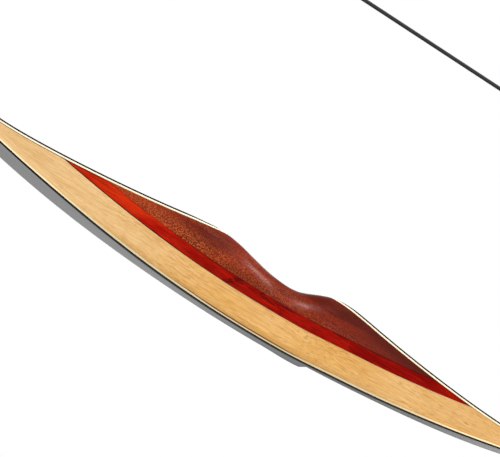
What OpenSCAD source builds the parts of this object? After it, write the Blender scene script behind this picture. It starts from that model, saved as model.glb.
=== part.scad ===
// One-piece laminated recurve bow, strung and at rest, for a right-handed archer.
// X is to the archer's right, +Y points at the target, +Z runs up the bow.
// The origin is the throat of the grip, where the web of the hand sits.

/* [Bow] */
// String length from nock to nock
string_length = 1500; // [1420:10:1600]
// Distance from the throat of the grip to the string
brace_height = 203; // [190:1:215]
// Height of the throat above the middle of the bow
throat_rise = 14; // [6:1:20]

/* [Riser] */
// Length of the riser from fade-out to fade-out
riser_length = 580; // [560:5:600]
// Depth of the riser at the middle of the bow, throat level to back
riser_depth = 42.7; // [41:0.1:47]
// Radius of the riser's back
back_radius = 1000; // [950:10:1200]
// Width of the riser and of the limbs where they leave it
bow_width = 40; // [37:0.5:43]
// Width of the grip at its waist
grip_width = 26.5; // [25:0.5:31]
// Height of the two shoulders of the grip above its throat
shoulder_height = 9.4; // [8:0.1:11]
// Length of the grip from the lower shoulder to the throat
heel_length = 62.5; // [56:0.5:70]
// Length of the grip from the throat to the upper shoulder
throat_length = 34.5; // [32:0.5:40]
// Thickness that the riser loses per millimetre towards its fade-outs
fade_slope = 0.24; // [0.22:0.005:0.25]

/* [Laminations] */
// Thickness of the black glass on the back and the belly
glass = 1.15; // [0.9:0.05:1.4]
// Thickness of the cream cores under the glass
core = 1.1; // [0.8:0.05:1.5]
// Thickness of the middle core at the riser
middle_core = 4; // [3.4:0.1:4.6]
// Thickness of the middle core in the recurves
middle_core_tip = 3; // [2.4:0.1:3.4]
// Thickness of the pale front block
front_block = 14.4; // [13:0.1:17]
// Thickness of the red lamination
red_lamination = 7.8; // [6:0.1:10]

/* [Sight window] */
// Height of the arrow shelf above the throat
shelf_height = 37; // [34:1:42]
// Half width of the shelf, from the middle of the bow to its rounded edge
shelf_reach = 18; // [16:0.5:19]
// Distance that the sight window is cut past the middle of the bow
window_offset = 0.5; // [0:0.1:3]
// Height of the upright wall of the window above the shelf
window_straight = 33; // [30:1:38]
// Height over which the window then sweeps back out to the full width
window_sweep = 150; // [130:5:180]
// Thickness of the shelf pad and the strike plate
pad = 1.5; // [1:0.1:2]

/* [Limbs] */
// Half width of a limb where the string leaves the recurve
recurve_half_width = 13.5; // [12:0.5:15]
// Half width of a limb at its nocks
nock_half_width = 9.5; // [8.5:0.5:10.5]
// Radius of the belly of the recurve
recurve_radius = 190; // [170:5:220]
// Length of string that lies on the recurve
contact_length = 60; // [54:1:66]
// Length of the tip beyond its nock
tip_length = 24; // [21:1:28]
// Thickness of the light layer under a tip overlay
tip_underlay = 1; // [0.6:0.1:1.4]
// Thickness of a tip overlay
tip_overlay = 2.6; // [2:0.1:3.2]

/* [String] */
// Diameter of the bundle of strands
strand_d = 2; // [1.6:0.1:2.4]
// Thickness of the thread served over the strands
serving = 0.3; // [0.2:0.05:0.4]
// Height of the nocking point above the throat
nocking_height = 48; // [44:1:54]
// Length of the centre serving above the nocking point
serving_above = 80; // [60:5:110]
// Length of the centre serving below the nocking point
serving_below = 145; // [125:5:170]
// Length, above and below the nocking point, that bends round the arrow's nock
nocking_reach = 25; // [20:1:30]
// Length of the end serving on the free part of the string
end_serving_length = 75; // [60:5:100]
// Length of the string loop below its nock
loop_length = 28; // [26:1:31]
// Height of the string's middle above the belly of the recurve
string_seat = 0.6; // [0.5:0.05:0.9]

/* [Hidden] */

clearance = 0.3;              // between the string and the limbs
feather = 0.02;               // least thickness of a feathered edge
centre_z = -throat_rise;      // height of the middle of the bow
half_width = bow_width / 2;
riser_half = riser_length / 2;
limb_root = 2 * (glass + core) + middle_core;
limb_tip = 2 * (glass + core) + middle_core_tip;
served_r = strand_d / 2 + serving;
leg_r = strand_d / 2 * 0.71 + serving; // a leg of the loop holds half of the strands

pale = [0.90, 0.72, 0.48];
cream = [0.98, 0.90, 0.76];
black = [0.10, 0.10, 0.10];
red = [0.70, 0.06, 0.03];
grip_brown = [0.38, 0.10, 0.05];
thread = [0.13, 0.13, 0.13];
hide = [0.24, 0.16, 0.11];

// Smooth steps and bumps
function ease(t) = t <= 0 ? 0 : t >= 1 ? 1 : t * t * (3 - 2 * t);
function bump(z, a, b, c, d) = ease((z - a) / (b - a)) * (1 - ease((z - c) / (d - c)));
function soft_min(a, b, k) = (a + b - sqrt((a - b) * (a - b) + k * k)) / 2;

// Back of the bow: an arc over the riser, a cubic curve down the limb and an arc round the recurve.
// p is the distance along the bow from its middle; each place is [height above the middle, y, slope angle].
belly_y = -brace_height + string_seat;          // belly surface where the string leaves it
recurve_z = string_length / 2 - contact_length; // height where the string leaves the recurve
recurve_c = belly_y + recurve_radius;           // y of the recurve's centre
limb_span = recurve_z - riser_half;
nock_p = riser_half + limb_span + contact_length;
tip_p = nock_p + tip_length;
fade_angle = asin(riser_half / back_radius);
root = [riser_half, riser_depth - back_radius * (1 - cos(fade_angle))];
recurve_start = [recurve_z, belly_y + limb_tip];
chord = norm(recurve_start - root);
handles = [root + 0.36 * chord * [cos(fade_angle), -sin(fade_angle)], recurve_start - [0.38 * chord, 0]];

function cubic(t) = pow(1 - t, 3) * root + 3 * t * pow(1 - t, 2) * handles[0]
    + 3 * t * t * (1 - t) * handles[1] + pow(t, 3) * recurve_start;
function cubic_slope(t) = 3 * pow(1 - t, 2) * (handles[0] - root)
    + 6 * t * (1 - t) * (handles[1] - handles[0]) + 3 * t * t * (recurve_start - handles[1]);

function back_at(p) =
    p <= riser_half ? let (a = asin(p / back_radius))
        [p, riser_depth - back_radius * (1 - cos(a)), a]
    : p <= riser_half + limb_span ? let (t = (p - riser_half) / limb_span, c = cubic(t), s = cubic_slope(t))
        [c[0], c[1], atan2(-s[1], s[0])]
    : let (a = (p - riser_half - limb_span) / recurve_radius * 180 / PI, r = recurve_radius - limb_tip)
        [recurve_z + r * sin(a), recurve_c - r * cos(a), -a];

// The limb flexes about this place, 15% of the way along its working length
flex_p = riser_half + 0.15 * limb_span;

// Depth of the layers below the back
function middle(p) = middle_core
    + (middle_core_tip - middle_core) * ease((p - riser_half) / limb_span);
// The riser's wedge fades along a hyperbola to nothing at the fade-out
fade_reach = 226.5;
fade_softness = 20;
function wedge_raw(p) = let (x = fade_reach - p) fade_slope / 2 * (x + sqrt(x * x + pow(fade_softness, 2)));
function wedge(p) = p >= riser_half ? 0 : wedge_raw(p) - wedge_raw(riser_half);
function wedge_place(w) = let (y = 2 * (w + wedge_raw(riser_half)) / fade_slope)
    fade_reach - (y * y - pow(fade_softness, 2)) / (2 * y);
function thickness(p) = 2 * (glass + core) + middle(p) + wedge(p);

// Depth of the sculpted grip, which cuts into the wedge between its shoulders
function grip_y(z) =
    z < -heel_length ? -shoulder_height + 0.3 * (z + heel_length)
    : z < 0 ? -shoulder_height * (1 - cos(180 * z / heel_length)) / 2
    : z < throat_length ? -shoulder_height * (1 - cos(180 * z / throat_length)) / 2
    : -shoulder_height - 0.3 * (z - throat_length);
function skin_depth(s) = abs(s) > riser_half ? thickness(abs(s))
    : soft_min(thickness(abs(s)), back_at(abs(s))[1] - grip_y(centre_z + s), 1.2);

// Depths of the layer boundaries from back to belly, cut off by the grip's surface
block_top = glass + core + middle_core;
function layers(s) = let (t = thickness(abs(s)), inner = t - glass - core, m = glass + core + middle(abs(s)),
        b = block_top + front_block)
    [0, glass, glass + core, min(m, inner), min(b, inner), min(b + red_lamination, inner),
     inner, t - glass, t];
function layer_top(s, k) = min(layers(s)[k], skin_depth(s) - feather);
function layer_bottom(s, k) = max(min(layers(s)[k + 1], skin_depth(s)), layer_top(s, k) + feather);
function present(s, k) = min(layers(s)[k + 1], skin_depth(s)) - layers(s)[k] > feather;

// Half widths to the right and to the left
function limb_half_width(p) = lookup(p, [[flex_p, half_width], [recurve_z, recurve_half_width],
    [nock_p, nock_half_width]]) - 4 * pow(max(0, (p - nock_p) / tip_length), 2);
function tip_round(p) = let (t = max(0, (p - tip_p + 6) / 6)) sqrt(max(0.02, 1 - t * t));
function waist(z) = (half_width - grip_width / 2) * bump(z, -190, -32, 12, 60);
function right_side(s) = abs(s) > riser_half ? limb_half_width(abs(s)) * tip_round(abs(s))
    : half_width - waist(centre_z + s);
function left_side(s) = let (z = centre_z + s, r = right_side(s))
    z < shelf_height - 0.05 && s > 0 ? r + max(0, shelf_reach - r) * bump(z, 4, shelf_height - 6, 500, 501)
        - 1.2 * ease((z - shelf_height + 4) / 4)
    : z >= shelf_height - 0.05 && s <= riser_half
        ? -window_offset + (r + window_offset) * ease((z - shelf_height - window_straight) / window_sweep)
    : r;

// Rounding of the section's corners: [across, along the depth] at the back and at the belly;
// a left corner has only the room that the right one leaves
function grip_bump(s) = bump(centre_z + s, -92, -50, 26, 66);
function back_round(s) = abs(s) > riser_half ? [0.5, 0.5]
    : [0.5, 0.5] + [4.5, 5.5] * bump(centre_z + s, -230, -75, 36, 200);
function belly_round(s) = abs(s) > riser_half ? [0.5, 0.5] : [0.5, 0.5] + [10.5, 16] * grip_bump(s);
function corner(depth, r) = depth >= r[1] ? 0 : r[0] * (1 - sqrt(max(0, 1 - pow((r[1] - depth) / r[1], 2))));
function inset(s, depth, room) = let (k = back_round(s), b = belly_round(s))
    corner(depth, [min(k[0], 0.85 * max(0, room - k[0])), k[1]])
    + corner(skin_depth(s) - depth, [min(b[0], 0.85 * max(0, room - b[0])), b[1]]);

// Slices lie level over the grip and turn square to the bow towards the limbs
function tilt(s) = let (a = back_at(abs(s))[2]) sign(s) * a * ease((abs(s) - 110) / (riser_half - 110));
function place(s, x, depth) = let (b = back_at(abs(s)), a = sign(s) * b[2], q = tilt(s), d = depth / cos(a - q))
    [x, b[1] - d * cos(q), centre_z + sign(s) * b[0] - d * sin(q)];
function level(top, bottom, j, n) = top + (bottom - top) * (bottom - top > 2 ? sin(90 * j / (n - 1)) : j / (n - 1));
function section(s, top, bottom, n) = let (r = right_side(s), l = left_side(s),
        e = [for (j = [0:n - 1]) level(top, bottom, j, n)])
    concat([for (d = e) place(s, r - inset(s, d, 3 * half_width), d)],
        [for (j = [n - 1:-1:0]) place(s, -l + inset(s, e[j], r + l), e[j])]);

// Skins a list of rings, which all have the same even number of points; each end is closed by strips across
module skin(rings) {
    n = len(rings[0]);
    m = len(rings);
    cap = [for (j = [0:n / 2 - 2]) [j, j + 1, n - 2 - j, n - 1 - j]];
    polyhedron(
        points = [for (r = rings) each r],
        faces = concat(
            cap,
            [for (j = [0:m - 2], i = [0:n - 1]) let (k = (i + 1) % n)
                each [[j * n + i, (j + 1) * n + i, (j + 1) * n + k], [j * n + i, (j + 1) * n + k, j * n + k]]],
            [for (f = cap) [for (i = [3:-1:0]) (m - 1) * n + f[i]]]
        ),
        convexity = 8
    );
}

// Stations along the bow, closer together round the grip and the shelf
dark_tip = wedge_place(front_block + red_lamination);
red_tip = wedge_place(front_block);
shelf_s = shelf_height - centre_z;
function steps(a, b, n) = [for (i = [0:n - 1]) a + (b - a) * i / n];
upper_stations = concat(steps(0, shelf_s - 8, 8), steps(shelf_s - 8, shelf_s - 0.1, 5), [shelf_s - 0.1, shelf_s],
    steps(shelf_s + 2, shelf_s + 30, 8), steps(shelf_s + 30, dark_tip, 8), steps(dark_tip, red_tip, 4),
    steps(red_tip, riser_half, 9), steps(riser_half, flex_p, 4), [flex_p]);
lower_stations = concat(steps(-flex_p, -riser_half, 4), steps(-riser_half, -red_tip, 9),
    steps(-red_tip, -dark_tip, 4), steps(-dark_tip, -82, 6), steps(-82, -30, 14), steps(-30, 0, 5));
riser_stations = concat(lower_stations, upper_stations);

// One layer of the riser, over the stations where it is present and one more at each end
module riser_layer(k, n, from = -1000, to = 1000) {
    all = [for (s = riser_stations) if (s > from && s < to) s];
    kept = [for (i = [0:len(all) - 1])
        if (present(all[i], k) || (i > 0 && present(all[i - 1], k))
            || (i < len(all) - 1 && present(all[i + 1], k))) all[i]];
    skin([for (s = kept) section(s, layer_top(s, k), layer_bottom(s, k), n)]);
}

module front_block() { color(pale) riser_layer(3, 5); }
module red_lamination() { color(red) riser_layer(4, 3); }
module grip_block() { color(grip_brown) riser_layer(5, 9); }
module riser_back_glass() { color(black) riser_layer(0, 3); }
module riser_back_core() { color(cream) riser_layer(1, 3); }
module riser_middle_core() { color(pale) riser_layer(2, 3); }
module upper_ramp_core() { color(cream) riser_layer(6, 3, from = 20); }
module upper_ramp_glass() { color(black) riser_layer(7, 3, from = 20); }
module lower_ramp_core() { color(cream) riser_layer(6, 3, to = -20); }
module lower_ramp_glass() { color(black) riser_layer(7, 3, to = -20); }

// Pads that the arrow slides on: one lies on the shelf, one lines the window wall
pad_y = riser_depth / 2;
plate = pad * 0.7;
module shelf_pad() {
    color(hide) translate([window_offset - plate - 0.2, pad_y, shelf_height + 0.02])
        linear_extrude(pad) hull() {
            for (y = [-13, 13])
                translate([-12, y]) circle(r = 2.5, $fn = 32);
            translate([-0.5, 0]) square([1, 27], center = true);
        }
}
module strike_plate() {
    color(hide) translate([window_offset - 0.02, pad_y, shelf_height + 0.1 + pad])
        rotate([0, -90, 0]) linear_extrude(plate) hull() {
            for (y = [-9, 9])
                translate([window_straight - 6, y]) circle(r = 4, $fn = 32);
            translate([0.5, 0]) square([1, 26], center = true);
        }
}

// Puts a piece drawn for the upper end on either end of the bow
module at_end(upper) {
    translate([0, 0, centre_z]) mirror([0, 0, upper ? 0 : 1]) translate([0, 0, -centre_z]) children();
}

// Limb layers run from the flex point to the tip
limb_stations = concat(steps(flex_p + clearance, riser_half + limb_span, 26), steps(riser_half + limb_span, nock_p, 7),
    steps(nock_p, tip_p - 6, 3), [for (a = [0:15:90]) tip_p - 6 + 6 * sin(a)]);
function limb_section(p, top, bottom, n) = let (h = limb_half_width(p) * tip_round(p),
        e = [for (j = [0:n - 1]) top + (bottom - top) * j / (n - 1)])
    concat([for (d = e) place(p, h, d)], [for (j = [n - 1:-1:0]) place(p, -h, e[j])]);

// Place near a tip: x across, b above the belly towards the back, t past the nock
function tip_place(x, b, t) = let (a = (contact_length + t) / recurve_radius * 180 / PI, r = recurve_radius - b)
    [x, recurve_c - r * cos(a), centre_z + recurve_z + r * sin(a)];
module rod(a, b, r) {
    v = b - a;
    translate(a) rotate([0, acos(v[2] / norm(v)), atan2(v[1], v[0])]) cylinder(h = norm(v), r = r, $fn = 48);
}

// Nocks: a groove down each side, one across the back, and the channel that the string lies in
channel_r = served_r + clearance;
groove_r = leg_r + clearance;
back_b = limb_tip + tip_underlay + tip_overlay;
loop_run = 8.4; // distance that the nocks lean towards the tip from belly to back
groove_x = nock_half_width + 0.2;
module nock_cuts() {
    for (side = [-1, 1])
        rod(tip_place(side * groove_x, -2, -2 * loop_run / back_b),
            tip_place(side * groove_x, back_b + 2, loop_run + 2 * loop_run / back_b), groove_r);
}
module back_groove() {
    rod(tip_place(-20, back_b + 0.3, loop_run), tip_place(20, back_b + 0.3, loop_run), groove_r);
}
// Tube or sleeve round the recurve's centre, between two lengths along the string
module arc_tube(r, bore, from, to) {
    a = from / recurve_radius * 180 / PI;
    b = to / recurve_radius * 180 / PI;
    translate([0, recurve_c, centre_z + recurve_z]) rotate([90, 0, -90]) rotate([0, 0, a])
        rotate_extrude(angle = b - a, $fn = 96) translate([recurve_radius + string_seat, 0]) difference() {
            circle(r = r, $fn = 24);
            if (bore > 0) circle(r = bore, $fn = 24);
        }
}
module string_channel() {
    arc_tube(channel_r, 0, 0, contact_length - 18);
    rod([0, -brace_height, centre_z + recurve_z - 60], [0, -brace_height, centre_z + recurve_z], channel_r);
}

module limb_layer(top, bottom) {
    skin([for (p = limb_stations) limb_section(p, top == 5 ? glass + core + middle(p) + core
            : top == 4 ? glass + core + middle(p) : [0, glass, glass + core, 0][top],
        bottom == 6 ? thickness(p) : bottom == 5 ? glass + core + middle(p) + core
            : bottom == 4 ? glass + core + middle(p) : [0, glass, glass + core, 0][bottom], 2)]);
}
module limb_back_glass() { color(black) difference() { limb_layer(0, 1); nock_cuts(); } }
module limb_back_core() { color(cream) difference() { limb_layer(1, 2); nock_cuts(); } }
module limb_middle_core() { color(pale) difference() { limb_layer(2, 4); nock_cuts(); } }
module limb_belly_core() { color(cream) difference() { limb_layer(4, 5); nock_cuts(); string_channel(); } }
module limb_belly_glass() { color(black) difference() { limb_layer(5, 6); nock_cuts(); string_channel(); } }

// Tip overlays, feathered where they start
overlay_length = 43;
overlay_stations = [for (p = limb_stations) if (p >= nock_p - overlay_length) p];
function fade_in(p) = max(feather, ease((p - nock_p + overlay_length) / 30));
module tip_underlay_piece() {
    color(cream) difference() {
        skin([for (p = overlay_stations) limb_section(p, -tip_underlay * fade_in(p), 0, 2)]);
        nock_cuts();
    }
}
module tip_overlay_piece() {
    color(grip_brown) difference() {
        skin([for (p = overlay_stations)
            limb_section(p, -(tip_underlay + tip_overlay) * fade_in(p), -tip_underlay * fade_in(p), 2)]);
        nock_cuts();
        back_groove();
    }
}

// Cord swept along a list of places; its first and last faces lie square to its ends
function unit(v) = v / norm(v);
function path_way(c, i) = unit(c[min(i + 1, len(c) - 1)] - c[max(i - 1, 0)]);
module cord(c, r, n) {
    skin([for (i = [0:len(c) - 1]) let (w = path_way(c, i), u = unit(cross(w, [0, 0.8, 0.6])), v = cross(w, u))
        [for (k = [0:n - 1]) c[i] + r * (cos(360 * k / n) * u + sin(360 * k / n) * v)]]);
}
leg_b = -leg_r - clearance;
leg_end = -2.4;
// One leg of the loop lies on the belly, from the end of the single string to the nock
leg_path = [for (q = [[leg_r + 0.02, -loop_length], [leg_r + 0.02, -loop_length + 4],
        [leg_r + 0.7, -loop_length + 8], [4.4, -13], [7.6, -6], [groove_x, leg_end]])
    tip_place(q[0], leg_b, q[1])];
module loop_legs() {
    color(thread) for (side = [0, 1]) mirror([side, 0, 0]) cord(leg_path, leg_r, 10);
}
// The rest of the loop lies in the nocks and across the back
seat_half = [for (q = [[groove_x, leg_b + 0.2, leg_end + 1], [groove_x, leg_b + 1, leg_end + 1.7],
        [groove_x, 0.8, 0.6], [groove_x, back_b - 2.6, loop_run * (back_b - 2.6) / back_b],
        [groove_x - 0.1, back_b - 1, loop_run - 0.6], [groove_x - 0.45, back_b - 0.1, loop_run - 0.15],
        [groove_x - 1.1, back_b + 0.25, loop_run], [groove_x - 2.5, back_b + 0.3, loop_run]])
    tip_place(q[0], q[1], q[2])];
seat_path = concat(seat_half, [for (i = [len(seat_half) - 1:-1:0])
    [-seat_half[i][0], seat_half[i][1], seat_half[i][2]]]);
module nock_loop() { color(thread) cord(seat_path, leg_r, 10); }

// String beyond the place where it leaves the recurve
module tip_strands() { color(thread) arc_tube(strand_d / 2, 0, 0.15, contact_length - loop_length - 0.5); }
module tip_serving() { color(thread) arc_tube(served_r, strand_d / 2, 0.15, contact_length - loop_length - 0.5); }

// Straight string: from one height to another
module strands(from, to) {
    color(thread) translate([0, -brace_height, from]) cylinder(h = to - from, d = strand_d, $fn = 48);
}
module sleeve(from, to) {
    color(thread) translate([0, -brace_height, from]) difference() {
        cylinder(h = to - from, r = served_r, $fn = 48);
        translate([0, 0, -1]) cylinder(h = to - from + 2, d = strand_d, $fn = 48);
    }
}
string_top = centre_z + recurve_z - 0.15;
string_bottom = centre_z - recurve_z + 0.15;
nock_top = nocking_height + nocking_reach;
nock_bottom = nocking_height - nocking_reach;

module upper_back_glass() { at_end(true) limb_back_glass(); }
module upper_back_core() { at_end(true) limb_back_core(); }
module upper_middle_core() { at_end(true) limb_middle_core(); }
module upper_belly_core() { at_end(true) limb_belly_core(); }
module upper_belly_glass() { at_end(true) limb_belly_glass(); }
module upper_tip_underlay() { at_end(true) tip_underlay_piece(); }
module upper_tip_overlay() { at_end(true) tip_overlay_piece(); }
module upper_nock_loop() { at_end(true) nock_loop(); }
module lower_back_glass() { at_end(false) limb_back_glass(); }
module lower_back_core() { at_end(false) limb_back_core(); }
module lower_middle_core() { at_end(false) limb_middle_core(); }
module lower_belly_core() { at_end(false) limb_belly_core(); }
module lower_belly_glass() { at_end(false) limb_belly_glass(); }
module lower_tip_underlay() { at_end(false) tip_underlay_piece(); }
module lower_tip_overlay() { at_end(false) tip_overlay_piece(); }
module lower_nock_loop() { at_end(false) nock_loop(); }
module upper_loop_legs() { at_end(true) loop_legs(); }
module upper_tip_strands() { at_end(true) tip_strands(); }
module upper_tip_serving() { at_end(true) tip_serving(); }
module lower_loop_legs() { at_end(false) loop_legs(); }
module lower_tip_strands() { at_end(false) tip_strands(); }
module lower_tip_serving() { at_end(false) tip_serving(); }
module upper_strands() { strands(nock_top, string_top); }
module upper_centre_serving() { sleeve(nock_top, nocking_height + serving_above); }
module upper_end_serving() { sleeve(string_top - end_serving_length, string_top); }
module lower_strands() { strands(string_bottom, nock_bottom); }
module lower_centre_serving() { sleeve(nocking_height - serving_below, nock_bottom); }
module lower_end_serving() { sleeve(string_bottom, string_bottom + end_serving_length); }
module upper_nocking_strands() { strands(nocking_height + 0.05, nock_top); }
module upper_nocking_serving() { sleeve(nocking_height + 0.05, nock_top); }
module lower_nocking_strands() { strands(nock_bottom, nocking_height - 0.05); }
module lower_nocking_serving() { sleeve(nock_bottom, nocking_height - 0.05); }

front_block();
red_lamination();
grip_block();
riser_back_glass();
riser_back_core();
riser_middle_core();
upper_ramp_core();
upper_ramp_glass();
lower_ramp_core();
lower_ramp_glass();
shelf_pad();
strike_plate();
upper_back_glass();
upper_back_core();
upper_middle_core();
upper_belly_core();
upper_belly_glass();
upper_tip_underlay();
upper_tip_overlay();
upper_nock_loop();
lower_back_glass();
lower_back_core();
lower_middle_core();
lower_belly_core();
lower_belly_glass();
lower_tip_underlay();
lower_tip_overlay();
lower_nock_loop();
upper_loop_legs();
upper_tip_strands();
upper_tip_serving();
upper_strands();
upper_centre_serving();
upper_end_serving();
lower_loop_legs();
lower_tip_strands();
lower_tip_serving();
lower_strands();
lower_centre_serving();
lower_end_serving();
upper_nocking_strands();
upper_nocking_serving();
lower_nocking_strands();
lower_nocking_serving();
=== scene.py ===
from math import asin, atan2, cos, pi, radians, sin, sqrt

import bpy
import numpy as np
from mathutils import Matrix, Vector


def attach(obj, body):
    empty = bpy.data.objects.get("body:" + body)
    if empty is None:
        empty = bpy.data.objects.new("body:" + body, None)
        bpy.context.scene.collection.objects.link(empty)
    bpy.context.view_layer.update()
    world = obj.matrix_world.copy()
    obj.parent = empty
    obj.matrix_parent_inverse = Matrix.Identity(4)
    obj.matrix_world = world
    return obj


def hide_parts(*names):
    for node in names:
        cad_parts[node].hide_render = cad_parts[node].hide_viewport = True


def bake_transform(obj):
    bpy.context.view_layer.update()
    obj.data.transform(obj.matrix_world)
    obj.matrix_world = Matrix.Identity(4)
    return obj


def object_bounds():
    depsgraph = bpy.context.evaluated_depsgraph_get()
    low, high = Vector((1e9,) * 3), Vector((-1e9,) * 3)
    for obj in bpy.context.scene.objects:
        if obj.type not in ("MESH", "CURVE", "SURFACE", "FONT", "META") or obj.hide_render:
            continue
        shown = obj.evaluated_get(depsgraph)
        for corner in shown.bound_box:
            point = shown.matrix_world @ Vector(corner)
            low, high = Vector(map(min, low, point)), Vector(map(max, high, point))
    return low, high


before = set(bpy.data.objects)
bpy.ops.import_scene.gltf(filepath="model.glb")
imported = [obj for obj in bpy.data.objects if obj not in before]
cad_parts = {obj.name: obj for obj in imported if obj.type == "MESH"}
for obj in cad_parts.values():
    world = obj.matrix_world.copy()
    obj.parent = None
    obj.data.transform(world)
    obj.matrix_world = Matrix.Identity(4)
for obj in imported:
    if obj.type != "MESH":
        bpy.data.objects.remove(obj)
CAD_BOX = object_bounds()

MM = 0.001

# ---------------------------------------- sizes, as in the part's source, in millimetres
STRING_LENGTH = 1500.0
BRACE = 203.0
THROAT_RISE = 14.0
RISER_DEPTH = 42.7
BACK_RADIUS = 1000.0
HALF_WIDTH = 20.0
GRIP_WIDTH = 26.5
SHOULDER = 9.4
HEEL = 62.5
THROAT = 34.5
FADE_SLOPE = 0.24
FADE_REACH = 226.5
FADE_SOFT = 20.0
GLASS = 1.15
CORE = 1.1
MIDDLE = 4.0
MIDDLE_TIP = 3.0
FRONT = 14.4
RED = 7.8
SHELF = 37.0
SHELF_REACH = 18.0
WINDOW_OFFSET = 0.5
WINDOW_STRAIGHT = 33.0
WINDOW_SWEEP = 150.0
PAD = 1.5
RECURVE_HALF = 13.5
NOCK_HALF = 9.5
RECURVE_RADIUS = 190.0
CONTACT = 60.0
TIP_LENGTH = 24.0
UNDERLAY = 1.0
OVERLAY = 2.6
OVERLAY_LENGTH = 43.0
STRAND_R = 1.0
SERVING = 0.3
NOCKING = 48.0
SERVING_ABOVE = 80.0
SERVING_BELOW = 145.0
END_SERVING = 75.0
LOOP_LENGTH = 28.0
STRING_SEAT = 0.6
CLEARANCE = 0.3
FEATHER = 0.02
HINGE_SHARE = 0.15         # place of the limb's hinge along its working length
HANDLE_ROOT = 0.36         # the two handles of the limb's curve, as shares of its chord
HANDLE_TIP = 0.38
GRIP_FALL = 0.3            # slope of the grip's profile beyond the heel and the throat
SKIN_SOFT = 1.2            # how softly the ramps run into the carved grip
TILT_START = 110.0         # cuts through the riser stay level up to here, then turn square to the back
TIP_NARROWING = 4.0        # half width lost from the nock to the tip
TIP_ROUND = 6.0            # length of the tip's rounded end
TIP_BLUNT = 0.02

# runs along the riser: z where a form starts, is full, starts to fade and has gone
WAIST_RUN = (-190, -32, 12, 60)
FLARE_RUN = (4, SHELF - 6, 500, 501)
SHELF_LIP = 1.2            # the shelf's edge is eased off by this much,
SHELF_LIP_RUN = 4.0        # over this height
EDGE = 0.5                 # rounding of a board's edges, everywhere
BACK_ROUND = (4.5, 5.5)    # further rounding about the grip: across and along the cut
BACK_ROUND_RUN = (-230, -75, 36, 200)
BELLY_ROUND = (10.5, 16.0)
BELLY_ROUND_RUN = (-92, -50, 24, 48)    # the source ends this with 26, 66; the photo's shoulder is shorter
CORNER_ROOM = 0.85         # share of the room left by the right corner that a left one may take

CENTRE_Z = -THROAT_RISE
RISER_HALF = 290.0
SERVED_R = STRAND_R + SERVING
LEG_R = STRAND_R * 0.71 + SERVING       # a leg of the loop holds half the strands
LIMB_TIP = 2 * (GLASS + CORE) + MIDDLE_TIP
BELLY_Y = -BRACE + STRING_SEAT
RECURVE_Z = STRING_LENGTH / 2 - CONTACT
RECURVE_C = BELLY_Y + RECURVE_RADIUS
SPAN = RECURVE_Z - RISER_HALF
FLEX_P = RISER_HALF + HINGE_SHARE * SPAN
NOCK_P = RECURVE_Z + CONTACT
TIP_P = NOCK_P + TIP_LENGTH
BACK_B = LIMB_TIP + UNDERLAY + OVERLAY
LOOP_RUN = 8.4             # how far past the nock the loop crosses the back
GROOVE_X = NOCK_HALF + 0.2
GROOVE_R = LEG_R + CLEARANCE
CHANNEL_R = SERVED_R + CLEARANCE
LEG_B = -LEG_R - CLEARANCE
FADE_ANGLE = asin(RISER_HALF / BACK_RADIUS)
ROOT = np.array([RISER_HALF, RISER_DEPTH - BACK_RADIUS * (1 - cos(FADE_ANGLE))])
RECURVE_START = np.array([RECURVE_Z, BELLY_Y + LIMB_TIP])
CHORD = float(np.linalg.norm(RECURVE_START - ROOT))
HANDLES = [ROOT + HANDLE_ROOT * CHORD * np.array([cos(FADE_ANGLE), -sin(FADE_ANGLE)]),
           RECURVE_START - np.array([HANDLE_TIP * CHORD, 0.0])]


# ---------------------------------------- the bow's shape
def ease(t):
    return 0.0 if t <= 0 else 1.0 if t >= 1 else t * t * (3 - 2 * t)


def bump(z, a, b, c, d):
    """Rises from a to b and falls again from c to d."""
    return ease((z - a) / (b - a)) * (1 - ease((z - c) / (d - c)))


def soft_min(a, b, k):
    return (a + b - sqrt((a - b) ** 2 + k * k)) / 2


def back_at(p):
    """Height above the middle, y and slope of the bow's back, at distance p along it."""
    if p <= RISER_HALF:
        a = asin(p / BACK_RADIUS)
        return p, RISER_DEPTH - BACK_RADIUS * (1 - cos(a)), a
    if p <= RECURVE_Z:
        t = (p - RISER_HALF) / SPAN
        u = 1 - t
        c = u ** 3 * ROOT + 3 * u * u * t * HANDLES[0] + 3 * u * t * t * HANDLES[1] + t ** 3 * RECURVE_START
        d = (3 * u * u * (HANDLES[0] - ROOT) + 6 * u * t * (HANDLES[1] - HANDLES[0])
             + 3 * t * t * (RECURVE_START - HANDLES[1]))
        return float(c[0]), float(c[1]), atan2(-d[1], d[0])
    a = (p - RECURVE_Z) / RECURVE_RADIUS
    r = RECURVE_RADIUS - LIMB_TIP
    return RECURVE_Z + r * sin(a), RECURVE_C - r * cos(a), -a


def middle(p):
    return MIDDLE + (MIDDLE_TIP - MIDDLE) * ease((p - RISER_HALF) / SPAN)


def wedge_raw(p):
    x = FADE_REACH - p
    return FADE_SLOPE / 2 * (x + sqrt(x * x + FADE_SOFT ** 2))


def wedge(p):
    return 0.0 if p >= RISER_HALF else wedge_raw(p) - wedge_raw(RISER_HALF)


def thickness(p):
    return 2 * (GLASS + CORE) + middle(p) + wedge(p)


def grip_y(z):
    """The grip's profile: heel, throat and the two shoulders."""
    if z < -HEEL:
        return -SHOULDER + GRIP_FALL * (z + HEEL)
    if z < 0:
        return -SHOULDER * (1 - cos(pi * z / HEEL)) / 2
    if z < THROAT:
        return -SHOULDER * (1 - cos(pi * z / THROAT)) / 2
    return -SHOULDER - GRIP_FALL * (z - THROAT)


def skin_depth(s):
    """Depth of the belly under the back, with the grip carved out."""
    t = thickness(abs(s))
    return t if abs(s) > RISER_HALF else soft_min(t, back_at(abs(s))[1] - grip_y(CENTRE_Z + s), SKIN_SOFT)


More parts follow.
